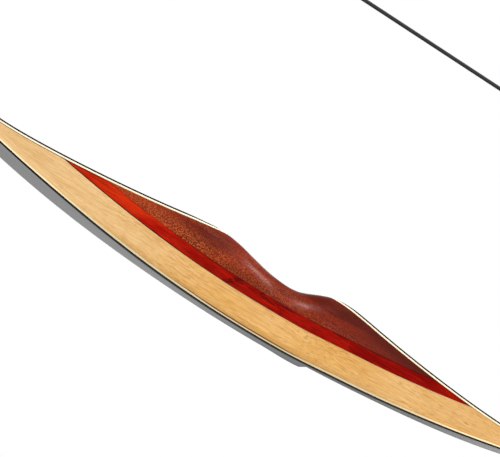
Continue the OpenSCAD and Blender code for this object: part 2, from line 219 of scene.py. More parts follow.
def layers(s):
    """Depths at which the bow's eight layers meet."""
    t = thickness(abs(s))
    inner = t - GLASS - CORE
    m = GLASS + CORE + middle(abs(s))
    b = GLASS + CORE + MIDDLE + FRONT
    return [0, GLASS, GLASS + CORE, min(m, inner), min(b, inner), min(b + RED, inner), inner, t - GLASS, t]


def layer_top(s, k):
    return min(layers(s)[k], skin_depth(s) - FEATHER)


def layer_bottom(s, k):
    return max(min(layers(s)[k + 1], skin_depth(s)), layer_top(s, k) + FEATHER)


def present(s, k):
    return min(layers(s)[k + 1], skin_depth(s)) - layers(s)[k] > FEATHER


def limb_half_width(p):
    wide = float(np.interp(p, [FLEX_P, RECURVE_Z, NOCK_P], [HALF_WIDTH, RECURVE_HALF, NOCK_HALF]))
    return wide - TIP_NARROWING * max(0.0, (p - NOCK_P) / TIP_LENGTH) ** 2


def tip_round(p):
    t = max(0.0, (p - TIP_P + TIP_ROUND) / TIP_ROUND)
    return sqrt(max(TIP_BLUNT, 1 - t * t))


def waist(z):
    return (HALF_WIDTH - GRIP_WIDTH / 2) * bump(z, *WAIST_RUN)


def right_side(s):
    if abs(s) > RISER_HALF:
        return limb_half_width(abs(s)) * tip_round(abs(s))
    return HALF_WIDTH - waist(CENTRE_Z + s)


def left_side(s):
    """The side with the shelf's flare and the sight window over it."""
    z = CENTRE_Z + s
    r = right_side(s)
    above = z >= SHELF - 0.05
    if not above and s > 0:
        return (r + max(0.0, SHELF_REACH - r) * bump(z, *FLARE_RUN)
                - SHELF_LIP * ease((z - SHELF + SHELF_LIP_RUN) / SHELF_LIP_RUN))
    if above and s <= RISER_HALF:
        return -WINDOW_OFFSET + (r + WINDOW_OFFSET) * ease((z - SHELF - WINDOW_STRAIGHT) / WINDOW_SWEEP)
    return r


def back_round(s):
    k = 0.0 if abs(s) > RISER_HALF else bump(CENTRE_Z + s, *BACK_ROUND_RUN)
    return EDGE + BACK_ROUND[0] * k, EDGE + BACK_ROUND[1] * k


def belly_round(s):
    k = 0.0 if abs(s) > RISER_HALF else bump(CENTRE_Z + s, *BELLY_ROUND_RUN)
    return EDGE + BELLY_ROUND[0] * k, EDGE + BELLY_ROUND[1] * k


def corner(depth, across, along):
    return 0.0 if depth >= along else across * (1 - sqrt(max(0.0, 1 - ((along - depth) / along) ** 2)))


def inset(s, depth, room):
    """How far the rounded corners draw a side in; a left one has only the room that the right one leaves."""
    def part(away, size):
        return corner(away, min(size[0], CORNER_ROOM * max(0.0, room - size[0])), size[1])

    return part(depth, back_round(s)) + part(skin_depth(s) - depth, belly_round(s))


def tilt(s):
    """Angle of the cut at s."""
    share = ease((abs(s) - TILT_START) / (RISER_HALF - TILT_START))
    return (1 if s > 0 else -1) * back_at(abs(s))[2] * share


def place(s, x, depth):
    """Where a point lies that is at s along the bow, x across it and depth under its back."""
    h, y, a = back_at(abs(s))
    sign = 1 if s > 0 else -1
    q = tilt(s)
    d = depth / cos(sign * a - q)
    return x, y - d * cos(q), CENTRE_Z + sign * h - d * sin(q)


def tip_place(x, b, t):
    """Where a point of the upper tip lies: x across, b over the belly, t past the nock."""
    a = (CONTACT + t) / RECURVE_RADIUS
    r = RECURVE_RADIUS - b
    return x, RECURVE_C - r * cos(a), CENTRE_Z + RECURVE_Z + r * sin(a)


def at_end(points, up):
    """Puts points drawn for the upper end on either end."""
    out = np.array(points, float)
    if not up:
        out[:, 2] = 2 * CENTRE_Z - out[:, 2]
    return out


def groove_limit(b, t):
    """Half width left by the leaning nock groove at height b over the belly, t past the nock."""
    q = abs(t * BACK_B - b * LOOP_RUN) / sqrt(BACK_B ** 2 + LOOP_RUN ** 2)
    return GROOVE_X - sqrt(GROOVE_R ** 2 - q * q) if q < GROOVE_R else 1e3


# ---------------------------------------- mesh helpers
SHARP_ANGLE = radians(38)


def rings_mesh(name, rings, grain, edge=None, flip=False):
    """Skins rings of points in millimetres, caps both ends, stores where each point lies in its board."""
    rings = np.array(rings, float)
    m, n = rings.shape[:2]
    quads = []
    i = np.arange(n)
    k = (i + 1) % n
    for j in range(m - 1):
        a, b = j * n, (j + 1) * n
        quads.append(np.stack([a + i, b + i, b + k, a + k], 1))
    faces = np.concatenate(quads).tolist()
    faces.append(list(range(n)))
    faces.append(list(range(m * n - 1, (m - 1) * n - 1, -1)))
    if flip:
        faces = [f[::-1] for f in faces]
    mesh = bpy.data.meshes.new(name)
    mesh.from_pydata((rings.reshape(-1, 3) * MM).tolist(), [], faces)
    mesh.update()
    mesh.shade_smooth()
    mesh.set_sharp_from_angle(angle=SHARP_ANGLE)
    a = mesh.attributes.new("grain", "FLOAT_VECTOR", "POINT")
    a.data.foreach_set("vector", (np.array(grain, float).reshape(-1) * MM).astype(np.float32))
    if edge is not None:
        a = mesh.attributes.new("edge", "FLOAT_VECTOR", "POINT")
        a.data.foreach_set("vector", np.array(edge, float).reshape(-1).astype(np.float32))
    obj = bpy.data.objects.new(name, mesh)
    bpy.context.collection.objects.link(obj)
    return obj


# points across a board's flat faces, as shares of its half width, and across the string's channel, in mm
ACROSS = [0.985, 0.9, 0.5, 0.0, -0.5, -0.9, -0.985]
CHANNEL_X = [1.9, 1.62, 1.5, 1.38, 1.2, 0.95, 0.65, 0.33, 0.0]
CHANNEL_X = CHANNEL_X + [-x for x in CHANNEL_X[-2::-1]]
CHANNEL_SHARE = 0.45       # the channel's points stay within this share of a narrow belly
CHANNEL_RISE = 1.1         # the channel runs out before the nock: how far its middle rises,
CHANNEL_END = 40.0         # from how far before the nock
CHANNEL_FADE = 14.0        # and over which length
NOCK_MARGIN = 5.0          # the nock's groove is looked for from this far before it


def channel_depth(p, x):
    """Depth of the groove that the string lies in, at distance x from the middle."""
    h = place(p, 0, thickness(p))[1] + BRACE if p < RECURVE_Z else STRING_SEAT
    h += CHANNEL_RISE * ease((p - NOCK_P + CHANNEL_END) / CHANNEL_FADE)
    if abs(x) >= CHANNEL_R or h >= CHANNEL_R:
        return 0.0
    return max(0.0, sqrt(CHANNEL_R ** 2 - x * x) - h)


def board_ring(s, top, bottom, levels, style):
    """One section of a lamination: right side down, across the bottom, left side up, across the top."""
    r, l = right_side(s), left_side(s)
    depths = [top + (bottom - top) * f for f in levels]
    p = abs(s)
    near_nock = NOCK_P - NOCK_MARGIN < p < TIP_P

    def sides(d):
        a, b = r - inset(s, d, 3 * HALF_WIDTH), -l + inset(s, d, r + l)
        if near_nock:
            w = groove_limit(thickness(p) - d, p - NOCK_P)
            a, b = min(a, w), max(b, -w)
        return a, b

    w = [sides(d) for d in depths]
    (a0, b0), (a1, b1) = w[0], w[-1]
    mid, half = (a1 + b1) / 2, (a1 - b1) / 2
    pts = [(w[j][0], d, d) for j, d in enumerate(depths)]
    if style == "channel":
        scale = min(1.0, CHANNEL_SHARE * half / CHANNEL_X[0])
        rims = [f * half for f in ACROSS if abs(f) > 0.5]
        xs = sorted(rims + [scale * x for x in CHANNEL_X], reverse=True)
        pts += [(mid + x, bottom - (channel_depth(p, x) if scale == 1.0 else 0.0), bottom) for x in xs]
    else:
        pts += [(mid + f * half, bottom, bottom) for f in ACROSS]
    pts += [(w[j][1], depths[j], depths[j]) for j in range(len(depths) - 1, -1, -1)]
    pts += [((a0 + b0) / 2 - f * (a0 - b0) / 2, top, top) for f in ACROSS]
    return pts


def board(name, stations, k, levels, straight, style="plain"):
    """Lofts layer k of the bow through the stations; a straight board's grain doesn't follow the curve."""
    rings, grain, edge = [], [], []
    for s in stations:
        a, b = layer_top(s, k), layer_bottom(s, k)
        row = board_ring(s, a, b, levels, style)
        world = [place(s, x, d) for x, d, _ in row]
        rings.append(world)
        grain.append([(w[2], w[0], w[1]) if straight else (s, x, d) for w, (x, d, _) in zip(world, row)])
        edge.append([(d - a, b - d, s) for _, _, d in row])
    return rings_mesh(name, rings, grain, edge, flip=stations[0] > stations[-1])


def spread(n):
    return [i / (n - 1) for i in range(n)]


def both_ends(n):
    """Steps from 0 to 1, closer together at both ends."""
    return [(1 - cos(pi * i / (n - 1))) / 2 for i in range(n)]


def span(a, b, step):
    """Even steps from a up to b, without b."""
    n = max(1, int(round(abs(b - a) / step)))
    return [a + (b - a) * i / n for i in range(n)]


# places of the cuts along the riser and along a limb, closer together where the shape turns faster
SHELF_S = SHELF - CENTRE_Z
RISER_STATIONS = (span(-RISER_HALF, -130, 3) + span(-130, SHELF_S - 6, 1.8)
                  + span(SHELF_S - 6, SHELF_S - 0.06, 0.6) + [SHELF_S - 0.06, SHELF_S - 0.04]
                  + span(SHELF_S + 0.5, SHELF_S + WINDOW_STRAIGHT, 2)
                  + span(SHELF_S + WINDOW_STRAIGHT, RISER_HALF, 3) + [RISER_HALF])
LIMB_STATIONS = (span(RISER_HALF, RECURVE_Z - 70, 5) + span(RECURVE_Z - 70, NOCK_P - 44, 3)
                 + span(NOCK_P - 44, NOCK_P - 16, 1.2) + span(NOCK_P - 16, NOCK_P - 3, 1.3)
                 + span(NOCK_P - 3, NOCK_P + 12, 0.3) + span(NOCK_P + 12, TIP_P - TIP_ROUND, 1)
                 + [TIP_P - TIP_ROUND + TIP_ROUND * sin(radians(a)) for a in range(0, 91, 7)])


def kept(stations, k):
    """The stations that layer k reaches, and the first one past each end."""
    flags = [present(s, k) for s in stations]
    n = len(stations)
    return [stations[i] for i in range(n)
            if flags[i] or (i and flags[i - 1]) or (i < n - 1 and flags[i + 1])]


# ---------------------------------------- materials
def srgb(r, g, b):
    """The colour that a picture shows as r, g, b of 255, in linear values."""
    return tuple((c / 255 / 12.92) if c <= 10 else ((c / 255 + 0.055) / 1.055) ** 2.4 for c in (r, g, b))


class Nodes:
    """A small helper that adds nodes and links them."""

    def __init__(self, name):
        self.material = bpy.data.materials.new(name)
        self.material.use_nodes = True
        self.tree = self.material.node_tree
        self.shader = self.tree.nodes["Principled BSDF"]

    def put(self, socket, value):
        if isinstance(value, bpy.types.NodeSocket):
            self.tree.links.new(value, socket)
        elif isinstance(value, tuple) and len(value) == 3 and socket.type == "RGBA":
            socket.default_value = value + (1,)
        else:
            socket.default_value = value

    def attribute(self, name):
        node = self.tree.nodes.new("ShaderNodeAttribute")
        node.attribute_name = name
        return node.outputs["Vector"]

    def math(self, op, a, b=0.0, c=0.0, clamp=False):
        node = self.tree.nodes.new("ShaderNodeMath")
        node.operation = op
        node.use_clamp = clamp
        for i, v in enumerate((a, b, c)):
            self.put(node.inputs[i], v)
        return node.outputs[0]

    def split(self, vector):
        node = self.tree.nodes.new("ShaderNodeSeparateXYZ")
        self.put(node.inputs[0], vector)
        return node.outputs

    def scaled(self, vector, sx, sy, sz, shift=(0, 0, 0)):
        node = self.tree.nodes.new("ShaderNodeMapping")
        self.put(node.inputs["Vector"], vector)
        node.inputs["Scale"].default_value = (sx, sy, sz)
        node.inputs["Location"].default_value = shift
        return node.outputs[0]

    def noise(self, vector, detail=3.0, rough=0.55, distortion=0.0):
        node = self.tree.nodes.new("ShaderNodeTexNoise")
        self.put(node.inputs["Vector"], vector)
        node.inputs["Scale"].default_value = 1.0
        node.inputs["Detail"].default_value = detail
        node.inputs["Roughness"].default_value = rough
        node.inputs["Distortion"].default_value = distortion
        return node.outputs["Fac"]

    def ramp(self, value, low, high, a=0.0, b=1.0):
        """Runs smoothly from a at low to b at high."""
        node = self.tree.nodes.new("ShaderNodeMapRange")
        node.interpolation_type = "SMOOTHSTEP"
        self.put(node.inputs["Value"], value)
        node.inputs["From Min"].default_value = low
        node.inputs["From Max"].default_value = high
        node.inputs["To Min"].default_value = a
        node.inputs["To Max"].default_value = b
        return node.outputs[0]

    def times(self, a, b):
        return self.math("MULTIPLY", a, b)

    def mix(self, factor, a, b):
        node = self.tree.nodes.new("ShaderNodeMix")
        node.data_type = "RGBA"
        self.put(node.inputs["Factor"], factor)
        self.put(node.inputs[6], a)
        self.put(node.inputs[7], b)
        return node.outputs[2]

    def bump(self, height, strength, distance):
        node = self.tree.nodes.new("ShaderNodeBump")
        node.inputs["Strength"].default_value = strength
        node.inputs["Distance"].default_value = distance
        self.put(node.inputs["Height"], height)
        self.put(self.shader.inputs["Normal"], node.outputs[0])

    def finish(self, colour, rough, ior=1.45, sheen=0.0):
        self.put(self.shader.inputs["Base Color"], colour)
        self.put(self.shader.inputs["Roughness"], rough)
        self.shader.inputs["IOR"].default_value = ior
        self.shader.inputs["Sheen Weight"].default_value = sheen
        return self.material


def board_nodes(name):
    """A material with what steers the woods: grain, edge and z, the grain's first coordinate.

    The grain is a point's place along, across and into the board, in metres. The edge is its distance
    from the board's back face and from its belly face, and its place along the bow, in millimetres.
    The IORs are low, or the white room would lay a haze over the dark woods.
    """
    n = Nodes(name)
    g = n.attribute("grain")
    e = n.split(n.attribute("edge"))
    return n, g, e, n.split(g)[0]


def beech(name, seam=False, glue=False):
    """Pale lacquered wood with ray flecks; seam draws a line on its belly face, glue on its back face."""
    n, g, e, z = board_nodes(name)
    broad = n.noise(n.scaled(g, 14, 50, 60), 3.0, 0.55, 0.3)
    colour = n.mix(n.ramp(broad, 0.32, 0.68), srgb(226, 181, 120), srgb(212, 162, 90))
    # paler towards the lower end, warmer in the middle
    colour = n.mix(n.times(n.ramp(z, -0.03, -0.17), 0.8), colour, srgb(227, 191, 138))
    middle_part = n.times(n.ramp(z, -0.11, -0.03), n.ramp(z, 0.12, 0.04))
    colour = n.mix(n.times(middle_part, 0.45), colour, srgb(224, 168, 88))
    streak = n.noise(n.scaled(g, 22, 800, 950), 4.0, 0.62, 0.2)
    colour = n.mix(n.ramp(streak, 0.4, 0.66, 0.0, 0.5), colour, srgb(197, 146, 82))
    pale = n.noise(n.scaled(g, 70, 800, 1000, (3, 5, 1)), 3.0, 0.6)
    colour = n.mix(n.ramp(pale, 0.5, 0.7, 0.0, 0.35), colour, srgb(240, 204, 150))
    # the ray flecks stand in groups
    group = n.noise(n.scaled(g, 22, 70, 110, (1, 9, 4)), 1.0, 0.5)
    often = n.times(n.ramp(group, 0.35, 0.62, 0.5, 1.0), n.ramp(z, -0.16, -0.06, 0.5, 1.0))
    long_fleck = n.noise(n.scaled(g, 80, 1500, 1700, (7, 2, 4)), 1.0, 0.5)
    dark = n.times(n.ramp(long_fleck, 0.55, 0.68), often)
    colour = n.mix(n.times(dark, 0.55), colour, srgb(170, 110, 54))
    short_fleck = n.noise(n.scaled(g, 180, 2100, 2400, (2, 6, 9)), 0.5, 0.4)
    fine = n.times(n.ramp(short_fleck, 0.6, 0.68), often)
    colour = n.mix(n.times(fine, 0.6), colour, srgb(176, 120, 60))
    if glue:
        about_grip = n.times(n.ramp(e[2], -75, -40), n.ramp(e[2], 55, 15))
        line = n.times(n.ramp(e[0], 0.65, 0.35), about_grip)
        colour = n.mix(n.times(line, 0.9), colour, srgb(104, 48, 18))
    if seam:
        line = n.times(n.ramp(e[1], 0.5, 0.3), n.ramp(e[2], 40, -80, 0.35, 1.0))
        colour = n.mix(line, colour, srgb(58, 20, 10))
    n.bump(long_fleck, 0.05, 0.0002)
    return n.finish(colour, n.ramp(streak, 0.35, 0.7, 0.34, 0.42), ior=1.22)


def red_wood(name):
    """Bright red wood, deeper towards the upper end, with dark figure near the throat and dark borders."""
    n, g, e, z = board_nodes(name)
    blotch = n.noise(n.scaled(g, 26, 80, 95), 4.0, 0.6, 0.5)
    left = n.mix(n.ramp(blotch, 0.35, 0.65), srgb(166, 17, 4), srgb(196, 45, 8))
    right = n.mix(n.ramp(blotch, 0.35, 0.65), srgb(122, 4, 1), srgb(152, 14, 4))
    colour = n.mix(n.ramp(z, -0.125, -0.03), left, right)
    streak = n.noise(n.scaled(g, 34, 600, 760), 4.0, 0.62, 0.4)
    colour = n.mix(n.ramp(streak, 0.44, 0.72, 0.0, 0.65), colour, srgb(94, 4, 2))
    glow = n.noise(n.scaled(g, 50, 500, 620, (3, 8, 1)), 3.0, 0.6, 0.3)
    colour = n.mix(n.ramp(glow, 0.5, 0.74, 0.0, 0.35), colour, srgb(206, 36, 6))
    figure = n.noise(n.scaled(g, 60, 150, 200, (5, 1, 2)), 4.0, 0.65, 1.2)
    about_throat = n.times(n.ramp(z, -0.065, -0.04), n.ramp(z, 0.045, 0.0))
    colour = n.mix(n.times(n.ramp(figure, 0.5, 0.62, 0.0, 0.75), about_throat), colour, srgb(64, 5, 4))
    border = n.math("ADD", n.times(n.ramp(e[0], 0.45, 0.1), n.ramp(e[2], 40, -80, 0.5, 1.0)),
                    n.times(n.ramp(e[1], 1.2, 0.0), n.ramp(streak, 0.4, 0.6, 0.3, 0.8)), clamp=True)
    colour = n.mix(border, colour, srgb(44, 6, 5))
    n.bump(streak, 0.05, 0.0002)
    return n.finish(colour, 0.3, ior=1.12)


def grip_wood(name):
    """Dark red-brown wood whose bands carry a fine orange speckle."""
    n, g, e, z = board_nodes(name)
    tone = n.noise(n.scaled(g, 16, 65, 100, (2, 2, 0)), 4.0, 0.6, 0.5)
    colour = n.mix(n.ramp(tone, 0.35, 0.65), srgb(92, 22, 8), srgb(130, 36, 14))
    streak = n.noise(n.scaled(g, 30, 500, 700, (0, 1, 8)), 4.0, 0.62, 0.4)
    colour = n.mix(n.ramp(streak, 0.45, 0.72, 0.0, 0.6), colour, srgb(76, 18, 9))
    # the speckle: in bands and beside the red lamination, most of it in the lower half
    band = n.noise(n.scaled(g, 9, 60, 120, (4, 1, 6)), 1.5, 0.5)
    near_red = n.times(n.ramp(e[0], 12.5, 4.0), n.ramp(z, -0.035, -0.085, 0.5, 1.0))
    where = n.math("ADD", n.ramp(band, 0.43, 0.6, 0.1, 0.8), n.times(near_red, 0.8), clamp=True)
    strength = n.math("ADD", n.ramp(z, -0.03, -0.09, 0.0, 0.6), n.ramp(z, 0.10, 0.0, 0.26, 0.46))
    speck = n.noise(n.scaled(g, 1150, 1500, 1700), 2.0, 0.7)
    dots = n.times(n.ramp(speck, 0.49, 0.60), n.times(where, strength))
    speck_colour = n.mix(n.ramp(z, -0.03, 0.05), srgb(208, 104, 44), srgb(184, 98, 66))
    colour = n.mix(n.times(dots, 0.85), colour, speck_colour)
    pores = n.ramp(n.noise(n.scaled(g, 420, 1900, 2200, (1, 0, 3)), 1.0, 0.5), 0.55, 0.68)
    colour = n.mix(n.times(pores, 0.6), colour, srgb(52, 10, 5))
    # warmer towards the lower end, darker towards the upper one
    colour = n.mix(n.ramp(z, -0.075, -0.12, 0.0, 0.35), colour, srgb(168, 62, 26))
    colour = n.mix(n.ramp(z, 0.005, 0.11, 0.0, 0.66), colour, srgb(74, 15, 9))
    # painted shade: darker along the belly edge of the grip's upper half, where the crest turns away from
    # the lamps
    painted_shade_upper_crest = n.times(n.ramp(e[1], 10.0, 2.0, 0.0, 0.45), n.ramp(z, 0.0, 0.045))
    colour = n.mix(painted_shade_upper_crest, colour, srgb(62, 16, 10))
    n.bump(pores, 0.08, 0.0002)
    # handling has polished the heel and the throat
    heel = n.times(n.ramp(z, -0.045, -0.032), n.ramp(z, -0.008, -0.018))
    throat = n.times(n.ramp(z, 0.0, 0.009), n.ramp(z, 0.036, 0.022))
    dull = n.math("SUBTRACT", 1.0, n.math("ADD", heel, throat))
    rough = n.math("ADD", n.ramp(streak, 0.35, 0.7, 0.24, 0.30), n.times(dull, 0.32))
    return n.finish(colour, rough, ior=1.19)


def cream_core(name, pale, warm, seam=False):
    """Pale core wood with a glue line: on its back face, or on its belly face and darker about the grip."""
    n, g, e, _ = board_nodes(name)
    fibre = n.noise(n.scaled(g, 20, 900, 1500), 3.0, 0.6)
    colour = n.mix(n.ramp(fibre, 0.35, 0.7), pale, warm)
    if seam:
        colour = n.mix(n.ramp(e[0], 0.28, 0.05, 0.0, 0.6), colour, srgb(196, 146, 84))
    else:
        about_grip = n.times(n.ramp(e[2], -50, -25), n.ramp(e[2], 55, 30))
        colour = n.mix(n.times(n.ramp(e[1], 0.5, 0.2), about_grip), colour, srgb(84, 36, 16))
        colour = n.mix(n.ramp(e[1], 0.28, 0.05, 0.0, 0.5), colour, srgb(196, 146, 84))
    n.bump(fibre, 0.04, 0.0002)
    return n.finish(colour, 0.4, ior=1.22)


def black_glass(name, ior=1.22):
    """Black fibreglass strip: fine threads along the bow under a lacquer, duller towards the upper end."""
    n, g, e, _ = board_nodes(name)
    fibre = n.noise(n.scaled(g, 10, 1400, 1400), 3.0, 0.6)
    colour = n.mix(n.ramp(fibre, 0.35, 0.7), (0.003, 0.003, 0.0032), (0.009, 0.009, 0.0095))
    cloud = n.noise(n.scaled(g, 12, 60, 60), 2.0, 0.5)
    rough = n.math("ADD", n.ramp(e[2], -90, 90, 0.17, 0.36), n.ramp(cloud, 0.3, 0.7, 0.0, 0.03))
    n.bump(fibre, 0.03, 0.0001)
    return n.finish(colour, rough, ior=ior)


def thread(name, colour_a, colour_b, rough, ior=1.3):
    """Waxed fibres, mottled finely between two colours."""
    n = Nodes(name)
    g = n.attribute("grain")
    fibre = n.noise(n.scaled(g, 4200, 4200, 4200), 3.0, 0.6)
    colour = n.mix(n.ramp(fibre, 0.35, 0.65), colour_a, colour_b)
    n.bump(fibre, 0.15, 0.00006)
    return n.finish(colour, rough, ior=ior, sheen=0.03)


def suede(name):
    n = Nodes(name)
    g = n.attribute("grain")
    nap = n.noise(n.scaled(g, 1800, 1800, 1800), 4.0, 0.7)
    cloud = n.noise(n.scaled(g, 90, 90, 90), 2.0, 0.5)
    colour = n.mix(n.ramp(cloud, 0.35, 0.65), srgb(70, 48, 34), srgb(88, 62, 44))
    colour = n.mix(n.ramp(nap, 0.4, 0.7, 0.0, 0.5), colour, srgb(52, 35, 25))
    n.bump(nap, 0.5, 0.0003)
    return n.finish(colour, 0.9, sheen=0.4)


M_FRONT = beech("front_block_wood", seam=True)
M_MIDDLE = beech("middle_core_wood", glue=True)
M_RED = red_wood("red_lamination_wood")
M_GRIP = grip_wood("grip_wood")
M_OVERLAY = grip_wood("overlay_wood")
M_BACK_CORE = cream_core("back_core_wood", srgb(253, 236, 196), srgb(246, 222, 170))
M_BELLY_CORE = cream_core("belly_core_wood", srgb(255, 243, 216), srgb(250, 232, 196), seam=True)
M_GLASS = black_glass("black_glass")
M_BELLY_GLASS = black_glass("belly_glass", 1.09)
M_SERVING = thread("serving_thread", (0.018, 0.018, 0.019), (0.05, 0.05, 0.052), 0.34, 1.13)
M_STRANDS = thread("waxed_strands", (0.005, 0.005, 0.0055), (0.012, 0.012, 0.013), 0.3)
M_HIDE = suede("suede")


def dress(obj, material, slot, *nodes):
    obj.data.materials.append(material)
    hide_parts(*nodes)
    return obj


# ---------------------------------------- the camera
cam = bpy.data.objects.new("camera", bpy.data.cameras.new("camera"))
bpy.context.collection.objects.link(cam)
CAM_PLACE = (1.287324, 0.241461, -0.330648)
CAM_RIGHT = Vector((0.2831521, -0.4771292, 0.8319691))
CAM_DOWN = Vector((-0.0605613, 0.8568441, 0.5120063))
CAM_AHEAD = Vector((-0.9571610, -0.1953608, 0.2137216))
FOCAL_PIXELS = 1972.7335
PHOTO_WIDTH = 500
SENSOR = 36
stand = Matrix((CAM_RIGHT, -CAM_DOWN, -CAM_AHEAD)).transposed().to_4x4()
stand.translation = Vector(CAM_PLACE)
cam.matrix_world = stand
cam.data.sensor_width = SENSOR
cam.data.sensor_fit = "HORIZONTAL"
cam.data.lens = SENSOR * FOCAL_PIXELS / PHOTO_WIDTH
cam.data.clip_start = 0.01
bpy.context.scene.camera = cam

# ---------------------------------------- riser blocks
for name, k, levels, material, slot in (
        ("front_block", 3, both_ends(18), M_FRONT, "beech"),
        ("red_lamination", 4, both_ends(14), M_RED, "red_wood"),
        ("grip_block", 5, [sin(pi / 2 * f) for f in spread(34)], M_GRIP, "grip_wood")):
    piece = board(name + "_shaped", kept(RISER_STATIONS, k), k, levels, True)
    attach(dress(piece, material, slot, name), "riser")

# ---------------------------------------- arrow rest pads, cut from suede
def pad_mesh(name, outline, thick, to_world, bevel=0.35):
    """A soft sheet with rounded edges: outline points in the sheet's plane, thick upwards."""
    outline = np.array(outline, float)
    centre = outline.mean(0)
    rings = []
    away = outline - centre
    size = np.abs(away).max(0)
    for f, h in ((0.0, 0.0), (0.0, thick - bevel), (0.3 * bevel, thick - 0.3 * bevel), (bevel, thick)):
        rings.append([(*(centre + v * (1 - f / size)), h) for v in away])
    for share in (0.85, 0.6, 0.35, 0.12):
        rings.append([(*(centre + v * share), thick) for v in away])
    rings = [[to_world(*p) for p in ring] for ring in rings]
    return rings_mesh(name, rings, rings)


def arc(cx, cy, r, a0, a1, n=9):
    turns = [radians(a0 + (a1 - a0) * i / (n - 1)) for i in range(n)]
    return [(cx + r * cos(a), cy + r * sin(a)) for a in turns]


def edge_run(a, b, n=8):
    """Points between a and b, without either."""
    return [(a[0] + (b[0] - a[0]) * i / n, a[1] + (b[1] - a[1]) * i / n) for i in range(1, n)]


PLATE = PAD * 0.7          # the strike plate's thickness
PAD_Y = RISER_DEPTH / 2
PLATE_GAP = 0.2            # between the strike plate and the shelf pad's edge
PAD_X = WINDOW_OFFSET - PLATE - PLATE_GAP
SEAT = 0.02                # gap under both pads
PAD_IN = 13.5              # half length of the shelf pad at the window,
PAD_OUT = 15.5             # and away from it
PAD_REACH = 14.5
PAD_CORNER = 2.5
pad_a, pad_b = PAD_CORNER - PAD_REACH, PAD_OUT - PAD_CORNER
shelf_outline = ([(0.0, -PAD_IN)] + edge_run((0, -PAD_IN), (0, PAD_IN), 16) + [(0.0, PAD_IN)]
                 + edge_run((0, PAD_IN), (pad_a, PAD_OUT)) + arc(pad_a, pad_b, PAD_CORNER, 90, 180)
                 + edge_run((-PAD_REACH, pad_b), (-PAD_REACH, -pad_b), 16)
                 + arc(pad_a, -pad_b, PAD_CORNER, 180, 270) + edge_run((pad_a, -PAD_OUT), (0, -PAD_IN)))
piece = pad_mesh("shelf_pad_suede", shelf_outline, PAD,
                 lambda a, b, h: (PAD_X + a, PAD_Y + b, SHELF + SEAT + h))
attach(dress(piece, M_HIDE, "hide", "shelf_pad"), "riser")

PLATE_HALF = 13.0
PLATE_CORNER = 4.0
PLATE_OVER_PAD = 0.1
PLATE_SHORT = 6.0          # its corners start this far below the end of the window's straight part
end_a, end_b = WINDOW_STRAIGHT - PLATE_SHORT, PLATE_HALF - PLATE_CORNER
plate_outline = ([(0.0, -PLATE_HALF)] + edge_run((0, -PLATE_HALF), (0, PLATE_HALF), 14)
                 + [(0.0, PLATE_HALF), (1.0, PLATE_HALF)] + edge_run((1, PLATE_HALF), (end_a, PLATE_HALF))
                 + arc(end_a, end_b, PLATE_CORNER, 90, 0)
                 + edge_run((end_a + PLATE_CORNER, end_b), (end_a + PLATE_CORNER, -end_b))
                 + arc(end_a, -end_b, PLATE_CORNER, 0, -90)
                 + edge_run((end_a, -PLATE_HALF), (1, -PLATE_HALF)) + [(1.0, -PLATE_HALF)])
piece = pad_mesh("strike_plate_suede", plate_outline, PLATE,
                 lambda a, b, h: (WINDOW_OFFSET - SEAT - h, PAD_Y + b, SHELF + PLATE_OVER_PAD + PAD + a))
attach(dress(piece, M_HIDE, "hide", "strike_plate"), "riser")

# ---------------------------------------- laminations, through the riser to the tips
# name, layer, places through the thickness, material, slot and style
LAYERS = (("back_glass", 0, [0, 0.06, 0.16, 0.3, 0.5, 0.75, 1], M_GLASS, "black_glass", "plain"),
          ("back_core", 1, spread(5), M_BACK_CORE, "cream_core", "plain"),
          ("middle_core", 2, spread(5), M_MIDDLE, "tan_core", "plain"),
          ("belly_core", 6, spread(4), M_BELLY_CORE, "cream_core", "plain"),
          ("belly_glass", 7, [0, 0.3, 0.55, 0.72, 0.85, 0.94, 1], M_BELLY_GLASS, "black_glass", "channel"))


def point_on_back(p, up):
    return tuple(at_end([place(p, 0, 0)], up)[0] * MM)


# the tip's two layers: the upper one is crowned and has a groove across its back for the loop
TIP_STATIONS = [p for p in LIMB_STATIONS if p >= NOCK_P - OVERLAY_LENGTH]
AWAY_FROM_EDGES = (5.0, 5.0, 500.0)
OVERLAY_FADE = 30.0        # length over which both layers come up to their thickness
OVERLAY_EDGE = 1.1         # rounding of the upper layer's edge
OVERLAY_CROWN = 0.16       # height of its crown
GROOVE_LIFT = 0.3          # how much of the loop's seat the groove leaves out


def fade_in(p):
    return max(FEATHER, ease((p - NOCK_P + OVERLAY_LENGTH) / OVERLAY_FADE))


def overlay_ring(p, top, bottom, crown):
    half = limb_half_width(p) * tip_round(p)
    t = p - NOCK_P
    q = t - LOOP_RUN
    sink = max(0.0, sqrt(GROOVE_R ** 2 - q * q) - GROOVE_LIFT) if crown and abs(q) < GROOVE_R else 0.0
    thick = bottom - top
    edge_r = min(OVERLAY_EDGE, 0.6 * thick, 0.4 * half) if crown else 0.0
    side = [(half, bottom), (half, bottom - (thick - edge_r) * 0.5)]
    for j in range(7):
        a = pi / 2 * j / 6
        side.append((half - edge_r * (1 - cos(a)), top + edge_r * (1 - sin(a))))
    pts = [(min(x, groove_limit(thickness(p) - d, t)), max(d, top + sink)) for x, d in side]
    ring = pts + [(pts[-1][0] * f, top + sink) for f in (0.9, 0.6, 0.3, 0.0, -0.3, -0.6, -0.9)]
    ring += [(-x, d) for x, d in reversed(pts)]
    ring += [(-pts[0][0] * f, bottom) for f in (0.9, 0.4, 0.0, -0.4, -0.9)]
    if crown:
        rise = OVERLAY_CROWN * min(1.0, thick / 2)
        ring = [(x, d + rise * (x / max(half, 0.1)) ** 2) if d < bottom - 0.01 else (x, d) for x, d in ring]
    return ring


